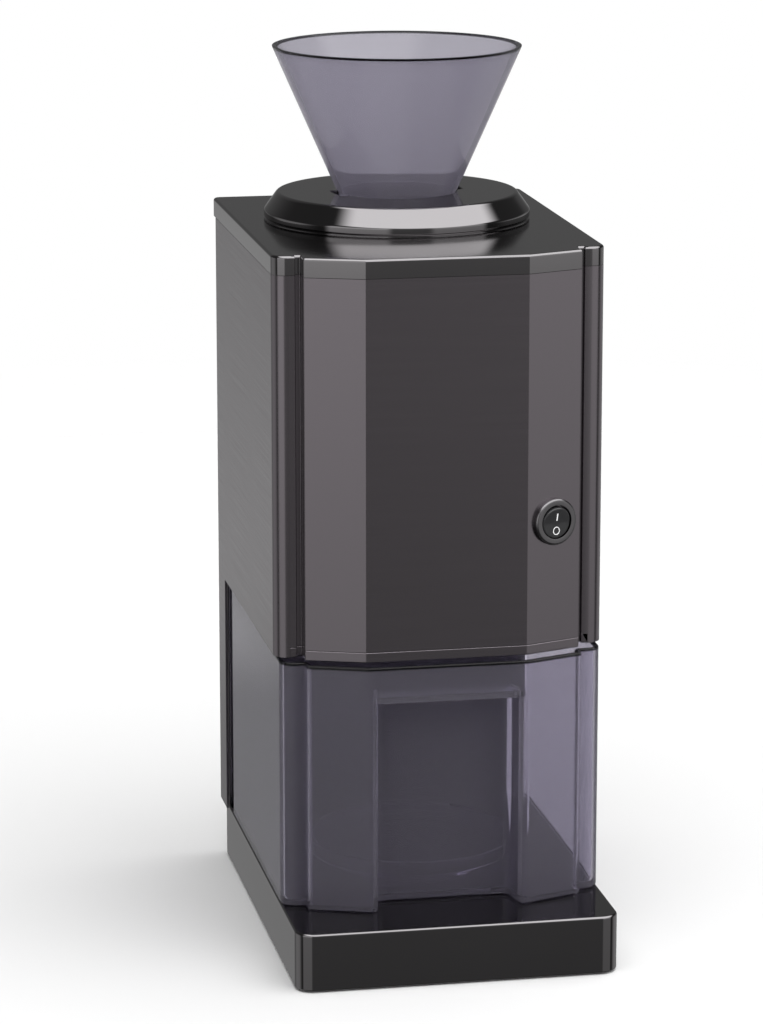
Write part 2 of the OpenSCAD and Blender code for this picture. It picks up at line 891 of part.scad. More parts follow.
// ---- wiring ----------------------------------------------------------------
module terminal_block() {
  color("#e8e6de") difference() {
    block(block_x - 6, block_x + 26, 104, panel_y - 0.1, 212, block_top);
    for (i = [0 : 2]) translate([block_x + i * 10, wire_y, 0]) disc(2, 216, block_top + 1);
  }
}

block_x = 46;
block_top = 230;
wire_y = 110;
wire_r = 1.2;
wire_gap = 3;

module wire(points) {
  for (i = [0 : len(points) - 2]) {
    d = points[i + 1] - points[i];
    translate(points[i]) rotate([0, acos(d[2] / norm(d)), atan2(d[1], d[0])])
      cylinder(r = wire_r, h = norm(d), $fn = 24);
    if (i > 0) translate(points[i]) sphere(r = wire_r * 1.3, $fn = 24);
  }
}

// Point at a distance behind the facet, in line with switch blade i.
function behind_blade(i, d) =
  switch_pos + [-d * sin(facet_angle), d * cos(facet_angle), (i - 1) * blade_gap];

// Each wire runs from a switch blade along the right wall and back to the terminal block.
module wiring_loom() {
  color("#2a4d8f") for (i = [0 : 2]) {
    side_x = 76 - i * wire_gap;
    run_z = 234 + i * wire_gap;
    end_x = block_x + i * 10;
    wire([behind_blade(i, blade_end + 1.5), [side_x, -40, run_z], [side_x, 98, run_z],
      [end_x, wire_y, run_z], [end_x, wire_y, block_top - 8]]);
  }
}

// ---- ice container ---------------------------------------------------------
module container_plan(d) {
  difference() {
    plan(d, hw = container_w / 2, fwd = container_fwd, rear = container_rear, groove = false, r = pillar_r);
    for (s = [-1, 1])
      translate([s * (container_w / 2 - 5 + 10), container_rear - 5 + 10]) square(20, center = true);
  }
  for (s = [-1, 1]) translate([s * (container_w / 2 - 5), container_rear - 5]) circle(5 - d);
}

// Plan of the finger recess, widened by d; the rear corners are rounded.
module recess_plan(d) {
  y0 = front_y - container_fwd;
  w = recess_w + d;
  r = 4 + d;
  translate([-w, y0 - 5]) square([2 * w, 5 + recess_d + d - r]);
  translate([-w + r, y0 - 5]) square([2 * (w - r), 5 + recess_d + d]);
  for (s = [-1, 1]) translate([s * (w - r), y0 + recess_d + d - r]) circle(r);
}

module ice_container() {
  wall = container_wall;
  y0 = front_y - container_fwd;
  color(smoke, 0.7) difference() {
    union() {
      difference() {
        slab(container_z0, container_top) container_plan(0);
        difference() {
          slab(container_z0 + container_floor, container_top + 1) container_plan(wall);
          slab(container_z0, recess_top + wall) recess_plan(wall);
        }
      }
      // raised round step in the floor
      translate([0, step_y, 0]) disc(step_r, container_z0 + container_floor - 1, container_z0 + container_floor + step_h);
      // finger lip over the recess
      translate([-recess_w, 0, 0]) rotate([90, 0, 90]) linear_extrude(2 * recess_w)
        polygon([[y0 + 0.5, recess_top], [y0 + 0.5, recess_top + lip_h], [y0, recess_top + lip_h],
          [y0 - lip_out, recess_top]]);
    }
    slab(container_z0 - 1, recess_top) recess_plan(0);
    translate([0, step_y, 0]) disc(step_r - wall, container_z0 - 1, container_z0 + step_h);
  }
}

// ---- funnel ----------------------------------------------------------------
module funnel() {
  lug_z = 382;
  in_r = neck_r - funnel_wall;
  color(smoke, 0.7) at_axis() {
    rotate_extrude($fn = 96) polygon([
      [in_r, 370], [neck_r, 370], [neck_r, cone_z0], [cone_r0, cone_z0], [funnel_r, total_h],
      [funnel_r - cone_side, total_h], [in_r, total_h - (funnel_r - cone_side - in_r) / cone_slope]
    ]);
    for (a = [180, 0]) rotate(a - slot_span / 2 + 14)
      ring_sector(neck_r - 0.5, slot_r - 0.6, slot_span - 4, lug_z, lug_z + 3);
  }
}

base_plinth();
base_plate();
foot(-foot_x, foot_ys[0]);  // foot_front_left
foot(foot_x, foot_ys[0]);  // foot_front_right
foot(-foot_x, foot_ys[1]);  // foot_rear_left
foot(foot_x, foot_ys[1]);  // foot_rear_right
base_screws();
housing_wrap();
lower_trim();
housing_floor();
floor_screws();
column_front_panel();
rear_panel();
rear_screws();
cord_gland();
gland_nut();
top_cover();
cover_screws();
collar();
collar_gasket();
switch_housing();
switch_terminals();
chassis_plate();
gear_case();
gear_case_cover();
gear_case_screws();
drum_standoffs();
chamber_drum();
drum_screws();
chamber_lid();
lid_screws();
fixed_blades();
fixed_blade_screws();
discharge_chute();
shaft_seal();
upper_bearing();
lower_bearing();
motor_top_bell();
motor_bottom_bell();
stator_core();
stator_windings();
motor_tie_bolts();
motor_top_bearing();
motor_bottom_bearing();
terminal_block();
wiring_loom();
rocker();
cutter_shaft();
rotor_disc();
crusher_blades();
sweeper();
rotor_nut();
drive_gear();
motor_shaft();
rotor_core();
pinion();
cooling_fan();
ice_container();
funnel();
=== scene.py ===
"""Looks of a countertop electric ice crusher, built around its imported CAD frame.

Lengths are in millimetres until they reach a mesh, which is in metres.
"""
import json
import math

import bmesh
import bpy
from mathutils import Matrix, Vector


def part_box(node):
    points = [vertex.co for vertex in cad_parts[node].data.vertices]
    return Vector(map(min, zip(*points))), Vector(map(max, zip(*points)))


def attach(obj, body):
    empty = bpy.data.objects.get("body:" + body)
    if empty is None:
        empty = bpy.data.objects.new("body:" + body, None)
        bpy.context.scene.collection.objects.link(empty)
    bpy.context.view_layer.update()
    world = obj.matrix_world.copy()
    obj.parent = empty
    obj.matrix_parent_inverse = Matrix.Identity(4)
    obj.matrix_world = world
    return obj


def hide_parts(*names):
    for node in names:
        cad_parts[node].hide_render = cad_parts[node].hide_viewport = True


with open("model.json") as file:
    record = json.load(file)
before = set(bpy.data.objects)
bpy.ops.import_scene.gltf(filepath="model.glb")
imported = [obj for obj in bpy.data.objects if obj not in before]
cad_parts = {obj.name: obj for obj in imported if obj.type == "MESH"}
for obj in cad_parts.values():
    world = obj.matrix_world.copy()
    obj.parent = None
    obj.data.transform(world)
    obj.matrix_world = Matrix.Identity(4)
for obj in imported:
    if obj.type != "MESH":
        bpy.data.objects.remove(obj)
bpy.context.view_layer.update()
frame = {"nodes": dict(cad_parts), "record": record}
NODES = frame["nodes"]
MM = 0.001


def cad_box(node):
    """Lowest and highest corner of a CAD node, in millimetres."""
    low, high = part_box(node)
    return low / MM, high / MM


# ---- driving dimensions, read from the frame where it holds them ------------
WRAP_LO, WRAP_HI = cad_box("housing_wrap")
BASE_LO, BASE_HI = cad_box("base_plinth")
COVER_HI = cad_box("top_cover")[1]
COLLAR_LO, COLLAR_HI = cad_box("collar")
FUNNEL_LO, FUNNEL_HI = cad_box("funnel")
BIN_LO, BIN_HI = cad_box("ice_container")
TRIM_LO, TRIM_HI = cad_box("lower_trim")
COLUMN_LO = cad_box("column_front_panel")[0]
SWITCH_LO, SWITCH_HI = cad_box("switch_housing")

HALF_W = WRAP_HI.x
FRONT_Y = WRAP_LO.y
REAR_Y = WRAP_HI.y
AXIS_Y = (COLLAR_LO.y + COLLAR_HI.y) / 2
SHEET = 1.2
FLANGE = 10
FACET_IN = 42.7
FACET_ANGLE = math.radians(19.7)
STEP_X = 73.0
GROOVE_W = 2.9
GROOVE_D = 2.4
PILLAR_Y = -75.4
PILLAR_R = 8.0
BEND_R = 1.6
FACET_DEPTH = (STEP_X - FACET_IN) * math.tan(FACET_ANGLE)


# ---- mesh helpers -----------------------------------------------------------
def new_piece(name, verts, faces, body, replaces=(), slot=None, smooth_angle=30):
    """A mesh piece from points in millimetres, riding on a CAD body."""
    mesh = bpy.data.meshes.new(name)
    mesh.from_pydata([tuple(c * MM for c in v) for v in verts], [], faces)
    tidy_normals(mesh)
    mesh.polygons.foreach_set("use_smooth", [True] * len(mesh.polygons))
    mesh.set_sharp_from_angle(angle=math.radians(smooth_angle))
    piece = bpy.data.objects.new(name, mesh)
    bpy.context.scene.collection.objects.link(piece)
    weighted = piece.modifiers.new("weighted_normals", "WEIGHTED_NORMAL")
    weighted.keep_sharp = True
    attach(piece, body)
    if replaces:
        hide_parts(*replaces)
    return piece


def tidy_normals(mesh):
    """Merges doubled points and turns every face outwards."""
    bm = bmesh.new()
    bm.from_mesh(mesh)
    bmesh.ops.remove_doubles(bm, verts=bm.verts, dist=1e-6)
    bmesh.ops.recalc_face_normals(bm, faces=bm.faces)
    bm.to_mesh(mesh)
    bm.free()


def loft(rings, close_rings=False, caps=True):
    """Points and faces of a surface through closed rings with equal point counts."""
    count = len(rings[0])
    verts = [p for ring in rings for p in ring]
    faces = []
    pairs = len(rings) if close_rings else len(rings) - 1
    for i in range(pairs):
        a = i * count
        b = (i + 1) % len(rings) * count
        for j in range(count):
            k = (j + 1) % count
            faces.append((a + j, a + k, b + k, b + j))
    if caps and not close_rings:
        faces.append(tuple(range(count - 1, -1, -1)))
        faces.append(tuple(range((len(rings) - 1) * count, len(rings) * count)))
    return verts, faces


def lift(outline, z):
    """A flat outline at height z."""
    return [(x, y, z) for x, y in outline]


def outline_of(ring):
    """The flat outline of a level ring."""
    return [point[:2] for point in ring]


def rounded(corners, steps):
    """Outline through corners (x, y, radius), each rounded by an arc."""
    outline = []
    count = len(corners)
    for i, (x, y, radius) in enumerate(corners):
        here = Vector((x, y))
        before = Vector(corners[i - 1][:2]) - here
        after = Vector(corners[(i + 1) % count][:2]) - here
        if radius <= 0:
            outline.append((x, y))
            continue
        before.normalize()
        after.normalize()
        half = before.angle(after) / 2
        centre = here + (before + after).normalized() * (radius / math.sin(half))
        start = here + before * (radius / math.tan(half)) - centre
        end = here + after * (radius / math.tan(half)) - centre
        sweep = start.angle_signed(end)
        first = math.atan2(start.y, start.x)
        for k in range(steps + 1):
            a = first - sweep * k / steps
            outline.append((centre.x + radius * math.cos(a), centre.y + radius * math.sin(a)))
    return outline


def inset(outline, distance):
    """A counter-clockwise outline moved inwards along its corners' bisectors."""
    moved = []
    count = len(outline)
    for i, (x, y) in enumerate(outline):
        here = Vector((x, y))
        u = (here - Vector(outline[i - 1])).normalized()
        v = (Vector(outline[(i + 1) % count]) - here).normalized()
        normal = Vector((-u.y - v.y, u.x + v.x))
        scale = max(normal.length_squared / 2, 0.4)
        moved.append((x + normal.x / scale * distance, y + normal.y / scale * distance))
    return moved


def fillet_rings(outline, z, radius, steps=4, upwards=True):
    """Rings that round an outline's edge at height z, from its side to its flat face."""
    rings = []
    for k in range(steps + 1):
        a = math.pi / 2 * k / steps
        height = radius * (1 - math.sin(a))
        ring = inset(outline, radius * (1 - math.cos(a)))
        rings.append(lift(ring, z - height if upwards else z + height))
    return rings


def lathe(profile, axis, segments):
    """A surface of revolution about Z at axis (x, y); a radius may be a function of the angle."""
    rings = []
    for radius, z in profile:
        ring = []
        for k in range(segments):
            a = 2 * math.pi * k / segments
            r = radius(a) if callable(radius) else radius
            ring.append((axis[0] + r * math.cos(a), axis[1] + r * math.sin(a), z))
        rings.append(ring)
    return loft(rings, close_rings=True)


def faceted_corners(hw, fwd, rear, groove, pillar_r, rear_r, out=0.0):
    """Corners (x, y, radius) of the faceted plan, counter-clockwise from the front."""
    right = [
        (FACET_IN, FRONT_Y - fwd - out, 1.5),
        (STEP_X + out, FRONT_Y + FACET_DEPTH - fwd - out, 0.9),
    ]
    if groove:
        right += [
            (STEP_X + out, PILLAR_Y + GROOVE_D, 0.4),
            (STEP_X + GROOVE_W - out, PILLAR_Y + GROOVE_D, 0.4),
            (STEP_X + GROOVE_W - out, PILLAR_Y - fwd - out, 0.6),
        ]
    else:
        right += [(STEP_X + 0.4, PILLAR_Y - fwd, 0.5)]
    right += [(hw + out, PILLAR_Y - fwd - out, pillar_r), (hw + out, rear + out, rear_r)]
    left = [(-x, y, r) for x, y, r in reversed(right)]
    return right + left


# ---- materials --------------------------------------------------------------
def new_material(name):
    """An empty node material; returns it with its tree and its Principled shader."""
    material = bpy.data.materials.new(name)
    material.use_nodes = True
    tree = material.node_tree
    tree.nodes.clear()
    output = tree.nodes.new("ShaderNodeOutputMaterial")
    shader = tree.nodes.new("ShaderNodeBsdfPrincipled")
    tree.links.new(shader.outputs["BSDF"], output.inputs["Surface"])
    return material, tree, shader


def scaled_noise(tree, stretch, scale, detail=3.0, roughness=0.5):
    """Noise over object space, stretched by a factor per axis."""
    place = tree.nodes.new("ShaderNodeTexCoord")
    mapping = tree.nodes.new("ShaderNodeMapping")
    mapping.inputs["Scale"].default_value = stretch
    noise = tree.nodes.new("ShaderNodeTexNoise")
    noise.inputs["Scale"].default_value = scale
    noise.inputs["Detail"].default_value = detail
    noise.inputs["Roughness"].default_value = roughness
    tree.links.new(place.outputs["Object"], mapping.inputs["Vector"])
    tree.links.new(mapping.outputs["Vector"], noise.inputs["Vector"])
    return noise.outputs["Fac"]


def remap(tree, value, low, high, source=(0.0, 1.0)):
    """Maps a value from one range to another."""
    node = tree.nodes.new("ShaderNodeMapRange")
    node.inputs["From Min"].default_value = source[0]
    node.inputs["From Max"].default_value = source[1]
    node.inputs["To Min"].default_value = low
    node.inputs["To Max"].default_value = high
    tree.links.new(value, node.inputs["Value"])
    return node.outputs["Result"]


def colour_between(tree, value, dark, light):
    """A colour ramp between two colours."""
    ramp = tree.nodes.new("ShaderNodeValToRGB")
    ramp.color_ramp.elements[0].color = (*dark, 1)
    ramp.color_ramp.elements[1].color = (*light, 1)
    tree.links.new(value, ramp.inputs["Fac"])
    return ramp.outputs["Color"]


def arithmetic(tree, operation, first, second):
    """A math node; each input is a number or a socket."""
    node = tree.nodes.new("ShaderNodeMath")
    node.operation = operation
    for socket, value in zip(node.inputs, (first, second)):
        if isinstance(value, (int, float)):
            socket.default_value = value
        else:
            tree.links.new(value, socket)
    return node.outputs[0]


def soft_step(tree, value, centre, width, low=0.0, high=1.0):
    """Rises smoothly from low to high around the centre."""
    result = remap(tree, value, low, high, (centre - width / 2, centre + width / 2))
    result.node.interpolation_type = "SMOOTHSTEP"
    return result


def soft_band(tree, value, start, end, width):
    """One between start and end, zero outside, with soft edges."""
    rise = soft_step(tree, value, start, width)
    fall = soft_step(tree, value, end, width, 1.0, 0.0)
    return arithmetic(tree, "MULTIPLY", rise, fall)


def add_bump(tree, shader, height, strength, distance):
    """Fine relief from a height value; distance in metres."""
    bump = tree.nodes.new("ShaderNodeBump")
    bump.inputs["Strength"].default_value = strength
    bump.inputs["Distance"].default_value = distance
    tree.links.new(height, bump.inputs["Height"])
    tree.links.new(bump.outputs["Normal"], shader.inputs["Normal"])


def vary_roughness(tree, shader, noise, low, high):
    """Roughness between low and high; noise stays mostly between 0.3 and 0.7."""
    tree.links.new(remap(tree, noise, low, high, (0.3, 0.7)), shader.inputs["Roughness"])


def brushed_metal(name, dark, light, roughness, across=(4, 4, 900), grain=0.25):
    """Metal with fine lines; across stretches the noise so that the lines run level."""
    material, tree, shader = new_material(name)
    shader.inputs["Metallic"].default_value = 1.0
    lines = scaled_noise(tree, across, 3.0, 4.0, 0.6)
    clouds = scaled_noise(tree, (1, 1, 1), 6.0, 2.0)
    mixed = tree.nodes.new("ShaderNodeMix")
    mixed.inputs["Factor"].default_value = 0.35
    tree.links.new(lines, mixed.inputs["A"])
    tree.links.new(clouds, mixed.inputs["B"])
    colour = colour_between(tree, mixed.outputs["Result"], dark, light)
    tree.links.new(colour, shader.inputs["Base Color"])
    vary_roughness(tree, shader, lines, *roughness)
    add_bump(tree, shader, lines, grain, 0.00002)
    return material


def moulded(name, colour, roughness, mottling, relief=0.0, relief_scale=900, metallic=0.0):
    """Plastic, rubber or paint: slight colour and gloss variation and an optional fine texture."""
    material, tree, shader = new_material(name)
    shader.inputs["Metallic"].default_value = metallic
    shader.inputs["IOR"].default_value = 1.5
    cloud = scaled_noise(tree, (1, 1, 1), 14.0, 4.0)
    dark = tuple(c * (1 - mottling) for c in colour)
    light = tuple(min(1, c * (1 + mottling)) for c in colour)
    tree.links.new(colour_between(tree, cloud, dark, light), shader.inputs["Base Color"])
    vary_roughness(tree, shader, cloud, roughness * 0.8, roughness * 1.2)
    if relief:
        grain = scaled_noise(tree, (1, 1, 1), relief_scale, 2.0)
        add_bump(tree, shader, grain, 0.5, relief)
    return material


def smoked_clear(name, tint, haze, veil, roughness, painted_shade_from):
    """Clear plastic tinted smoke grey; haze scatters light back, veil scatters it through.
    Above the given height the plastic is painted nearly black, a painted shade for its rim seen
    edge-on."""
    material, tree, shader = new_material(name)
    shader.inputs["IOR"].default_value = 1.3
    shader.inputs["Transmission Weight"].default_value = 1.0 - haze
    cloud = scaled_noise(tree, (1, 1, 1), 9.0, 3.0)
    dark = tuple(c * 0.97 for c in tint)
    place = tree.nodes.new("ShaderNodeTexCoord")
    split = tree.nodes.new("ShaderNodeSeparateXYZ")
    tree.links.new(place.outputs["Object"], split.inputs[0])
    # Painted shade mask: one above the given height, where the rim is painted nearly black.
    painted_rim_shade = soft_step(tree, split.outputs["Z"], painted_shade_from, 0.0004)
    shade = tree.nodes.new("ShaderNodeMix")
    shade.data_type = "RGBA"
    colours = [socket for socket in shade.inputs if socket.type == "RGBA"]
    tree.links.new(painted_rim_shade, shade.inputs[0])
    tree.links.new(colour_between(tree, cloud, dark, tint), colours[0])
    # The painted shade colour: near-black for the rim seen edge-on.
    colours[1].default_value = (0.01, 0.01, 0.012, 1)
    result = [socket for socket in shade.outputs if socket.type == "RGBA"][0]
    tree.links.new(result, shader.inputs["Base Color"])
    fine = scaled_noise(tree, (1, 1, 1), 420.0, 2.0)
    vary_roughness(tree, shader, fine, roughness * 0.6, roughness * 1.4)
    scatter = tree.nodes.new("ShaderNodeBsdfTranslucent")
    scatter.inputs["Color"].default_value = (0.80, 0.76, 0.90, 1)
    mix = tree.nodes.new("ShaderNodeMixShader")
    share = arithmetic(tree, "SUBTRACT", 1.0, painted_rim_shade)
    tree.links.new(arithmetic(tree, "MULTIPLY", share, veil), mix.inputs[0])
    tree.links.new(shader.outputs[0], mix.inputs[1])
    tree.links.new(scatter.outputs[0], mix.inputs[2])
    output = [node for node in tree.nodes if node.type == "OUTPUT_MATERIAL"][0]
    tree.links.new(mix.outputs[0], output.inputs["Surface"])
    return material


GLOSS_COLOUR = (0.185, 0.178, 0.182)
# How far below the top the smoked plastic is painted nearly black, a painted shade for its rim seen
# edge-on.
RIM_SHADE = 1.2
BIN_RIM_SHADE = 1.6
MATERIALS = {
    "dark_steel": brushed_metal(
        "dark_steel", (0.192, 0.174, 0.188), (0.208, 0.188, 0.203), (0.20, 0.27), grain=0.10),
    "gloss_black": moulded("gloss_black", GLOSS_COLOUR, 0.06, 0.04, metallic=1.0),
    "smoked_plastic": smoked_clear(
        "smoked_plastic", (0.57, 0.545, 0.635), 0.06, 0.03, 0.03, (BIN_HI.z - BIN_RIM_SHADE) * MM),
    "grey_plastic": moulded("grey_plastic", (0.035, 0.035, 0.037), 0.45, 0.15, 0.00004),
    "rubber": moulded("rubber", (0.012, 0.012, 0.012), 0.75, 0.2, 0.00006, 500),
    "zinc_steel": brushed_metal(
        "zinc_steel", (0.42, 0.43, 0.45), (0.56, 0.57, 0.59), (0.25, 0.4), (60, 60, 60)),
    "blade_steel": brushed_metal(
        "blade_steel", (0.46, 0.47, 0.49), (0.62, 0.63, 0.65), (0.16, 0.3), (9, 500, 9)),
    "die_cast": moulded("die_cast", (0.42, 0.43, 0.44), 0.42, 0.12, 0.00005, 700, 1.0),
    "bronze": moulded("bronze", (0.48, 0.27, 0.12), 0.38, 0.15, 0.00003, 900, 1.0),
    "lamination": brushed_metal(
        "lamination", (0.10, 0.10, 0.11), (0.22, 0.22, 0.23), (0.4, 0.6), (2, 2, 700)),
    "winding": brushed_metal(
        "winding", (0.30, 0.10, 0.04), (0.60, 0.24, 0.10), (0.25, 0.4), (2, 2, 500)),
    "gear_plastic": moulded("gear_plastic", (0.62, 0.58, 0.48), 0.4, 0.06),
    "terminal_plastic": moulded("terminal_plastic", (0.72, 0.70, 0.64), 0.45, 0.05),
    "wire_blue": moulded("wire_blue", (0.03, 0.08, 0.30), 0.4, 0.1),
}
SMOKED_FUNNEL = smoked_clear(
    "smoked_funnel", (0.41, 0.40, 0.44), 0.02, 0.13, 0.03, (FUNNEL_HI.z - RIM_SHADE) * MM)
COVER_BLACK = moulded("cover_black", GLOSS_COLOUR, 0.11, 0.04, metallic=1.0)
BEZEL_METAL = moulded("bezel_metal", (0.16, 0.155, 0.16), 0.22, 0.1, metallic=1.0)
ROCKER_BLACK = moulded("rocker_black", (0.02, 0.02, 0.021), 0.32, 0.1)
MARK_WHITE = moulded("mark_white", (0.80, 0.80, 0.80), 0.4, 0.03)


def paint(piece, material):
    """Gives the whole piece one material."""
    piece.data.materials.clear()
    piece.data.materials.append(material)


def dress_cad_nodes():
    """Every CAD node that stays in view gets its slot's material and softly broken edges."""
    for part in frame["record"]["subparts"]:
        node = NODES[part["node"]]
        if node.hide_render:
            continue
        paint(node, MATERIALS[part["material_slot"]])
        weld = node.modifiers.new("weld", "WELD")
        weld.merge_threshold = 1e-6
        bevel = node.modifiers.new("broken_edges", "BEVEL")
        bevel.width = 0.0002
        bevel.segments = 2
        bevel.limit_method = "ANGLE"
        bevel.angle_limit = math.radians(40)
        bevel.use_clamp_overlap = True


# ---- base -------------------------------------------------------------------
def rect_corners(low, high, radius):
    """Corners of a rectangle, counter-clockwise."""
    return [
        (low[0], low[1], radius),
        (high[0], low[1], radius),
        (high[0], high[1], radius),
        (low[0], high[1], radius),
    ]


BASE_CORNER_R = 10
BASE_WALL = 3


def make_base():
    """The gloss plinth: a hollow shell, open below, with a fine radius round its top."""
    outline = rounded(rect_corners(BASE_LO, BASE_HI, BASE_CORNER_R), 10)
    inner = inset(outline, BASE_WALL)
    rings = fillet_rings(outline, BASE_LO.z, 0.8, 3, upwards=False)[::-1]
    rings += fillet_rings(outline, BASE_HI.z, 1.3, 6)
    top = len(rings) - 1
    verts, faces = loft(rings, caps=False)
    count = len(outline)
    faces.append(tuple(range(top * count, (top + 1) * count)))
    start = len(verts)
    inner_rings = [lift(inner, BASE_LO.z), lift(inner, BASE_HI.z - BASE_WALL)]
    inner_verts, inner_faces = loft(inner_rings, caps=False)
    verts += inner_verts
    faces += [tuple(start + i for i in reversed(f)) for f in inner_faces]
    faces.append(tuple(start + count + i for i in reversed(range(count))))
    faces += [(j, start + j, start + (j + 1) % count, (j + 1) % count) for j in range(count)]
    base = new_piece("base_shell", verts, faces, "machine", ["base_plinth"], "gloss_black")
    paint(base, MATERIALS["gloss_black"])


# ---- housing ----------------------------------------------------------------
def wrap_path():
    """The folded sheet's outer line, open at the rear, from left flange to right flange."""
    right = faceted_corners(HALF_W, 0, REAR_Y, True, PILLAR_R, BEND_R)[:7]
    corners = [(-x, y, r) for x, y, r in reversed(right)] + right
    flange_x = HALF_W - FLANGE
    column_y = COLUMN_LO.y
    path = rounded([(-flange_x, REAR_Y, 0)] + corners + [(flange_x, REAR_Y, 0)], 6)
    cuts = []
    for a, b in zip(path, path[1:]):
        cuts.append(a)
        if abs(a[0] - b[0]) < 0.01 and min(a[1], b[1]) < column_y < max(a[1], b[1]):
            step = 0.02 if a[1] < b[1] else -0.02
            cuts += [(a[0], column_y - step / 2), (a[0], column_y + step / 2)]
        for edge in (HALF_W - PILLAR_R, -(HALF_W - PILLAR_R)):
            if a[1] < PILLAR_Y + 4 and min(a[0], b[0]) < edge < max(a[0], b[0]):
                cuts += [(edge - 0.01, a[1]), (edge + 0.01, a[1])]
    return cuts + [path[-1]]


def wrap_bottom(x, y):
    """Height of the sheet's lower edge at a place on its outline."""
    if y > COLUMN_LO.y:
        return WRAP_LO.z
    if abs(x) < HALF_W - PILLAR_R and y < PILLAR_Y + 6:
        return TRIM_HI.z + 0.15
    return TRIM_LO.z


def make_wrap():
    """The dark steel sheet: three-facet front, pillars, sides and rear flanges in one fold."""
    outer = wrap_path()
    outline = outer + offset_open(outer, SHEET)[::-1]
    count = len(outer)
    bottoms = [wrap_bottom(x, y) for x, y in outer]
    bottoms += bottoms[::-1]
    low = [(x, y, z) for (x, y), z in zip(outline, bottoms)]
    high = lift(outline, WRAP_HI.z)
    verts = low + high
    faces = []
    total = 2 * count
    for j in range(total):
        k = (j + 1) % total
        faces.append((j, k, total + k, total + j))
    for j in range(count - 1):
        a, b, c, d = j, j + 1, total - 2 - j, total - 1 - j
        faces.append((a, d, c, b))
        faces.append((total + a, total + b, total + c, total + d))
    wrap = new_piece("housing_sheet", verts, faces, "machine", ["housing_wrap"], "dark_steel", 25)
    paint(wrap, MATERIALS["dark_steel"])


def offset_open(path, distance):
    """An open line moved to its left side."""
    moved = []
    last = len(path) - 1
    for i, (x, y) in enumerate(path):
        here = Vector((x, y))
        u = here - Vector(path[max(i - 1, 0)])
        v = Vector(path[min(i + 1, last)]) - here
        u = (u if u.length > 0 else v).normalized()
        v = (v if v.length > 0 else u).normalized()
        normal = Vector((-u.y - v.y, u.x + v.x))
        scale = max(normal.length_squared / 2, 0.4)
        moved.append((x + normal.x / scale * distance, y + normal.y / scale * distance))
    return moved


def make_trim():
    """The strip under the front of the sheet."""
    right = faceted_corners(HALF_W, 0, REAR_Y, True, PILLAR_R, BEND_R)[:5]
    edge = HALF_W - PILLAR_R - 0.1
    corners = [(-edge, PILLAR_Y, 0)] + [(-x, y, r) for x, y, r in reversed(right)] + right
    path = rounded(corners + [(edge, PILLAR_Y, 0)], 6)
    inner = offset_open(path, 2)
    soft = 0.35
    rings = []
    low, high = TRIM_LO.z, TRIM_HI.z
    for z, shift in ((low, soft), (low + soft, 0), (high - soft, 0), (high, soft)):
        rings.append(lift(offset_open(path, shift) + inner[::-1], z))
    verts, faces = loft(rings, caps=False)
    total = len(rings[0])
    count = len(path)
    top = 3 * total
    for j in range(count - 1):
        a, b, c, d = j, j + 1, total - 2 - j, total - 1 - j
        faces.append((a, d, c, b))
        faces.append((top + a, top + b, top + c, top + d))
    trim = new_piece("trim_strip", verts, faces, "machine", ["lower_trim"], "dark_steel", 25)
    paint(trim, MATERIALS["dark_steel"])


# ---- cover and collar -------------------------------------------------------
def plate_with_hole(outer, hole, z, up):
    """Triangles of a flat plate between an outline and a hole, at height z."""
    bm = bmesh.new()
    edges = []
    for outline in (outer, hole):
        points = [bm.verts.new((x, y, z)) for x, y in outline]
        edges += [bm.edges.new((points[i - 1], points[i])) for i in range(len(points))]
    bmesh.ops.triangle_fill(bm, use_beauty=True, use_dissolve=False, edges=edges)
    bm.verts.index_update()
    verts = [tuple(v.co) for v in bm.verts]
    faces = []
    for f in bm.faces:
        order = [v.index for v in f.verts]
        faces.append(order if (f.normal.z > 0) == up else order[::-1])
    bm.free()
    return verts, faces


def joined(*parts):
    """Several (points, faces) as one."""
    verts, faces = [], []
    for more_verts, more_faces in parts:
        start = len(verts)
        verts += more_verts
        faces += [tuple(start + i for i in f) for f in more_faces]
    return verts, faces


def circle_outline(radius, cx, cy, segments=96):
    """A circle as an outline."""
    turns = [2 * math.pi * i / segments for i in range(segments)]
    return [(cx + radius * math.cos(a), cy + radius * math.sin(a)) for a in turns]


COVER_T = 2.5
COVER_HOLE_R = 38.4


def make_cover():
    """The gloss cap over the housing, faceted like it, with a soft upper edge."""
    out = COVER_HI.x - HALF_W
    corners = faceted_corners(HALF_W, 0, COVER_HI.y - out, True, PILLAR_R + out, 4, out)
    outline = rounded(corners, 8)
    skirt_z = WRAP_HI.z
    rings = fillet_rings(outline, skirt_z, 0.3, 2, upwards=False)[::-1]
    rings += fillet_rings(outline, COVER_HI.z, 1.5, 7)
    top_outline = outline_of(rings[-1])
    inner = inset(outline, 1.9)
    hole = circle_outline(COVER_HOLE_R, 0, AXIS_Y)
    under_z = COVER_HI.z - COVER_T
    shell = joined(
        loft(rings, caps=False),
        plate_with_hole(top_outline, hole, COVER_HI.z, True),
        loft([lift(hole, COVER_HI.z), lift(hole, under_z)], caps=False),
        plate_with_hole(inner, hole, under_z, False),
        loft([lift(inner, under_z), lift(inner, skirt_z), rings[0]], caps=False),
    )
    cover = new_piece("cover_cap", *shell, "machine", ["top_cover"], "gloss_black", 25)
    paint(cover, COVER_BLACK)


def collar_hole(radius, slot_radius, first=-8, span=40):
    """Radius of the collar's hole by angle: two slots, opposite each other."""
    def at(a):
        turn = (math.degrees(a) - first) % 180
        edge = min(turn, span - turn)
        if edge <= 0:
            return radius
        return radius + (slot_radius - radius) * min(1, edge / 1.5)
    return at


HOLE_R, SLOT_R = 32.0, 35.8
TUBE_R, TUBE_IN_R = 38.0, 36.2
COLLAR_LIP = 3.0
COLLAR_SKIN = 3.2
COLLAR_FLAT_R = 64.7


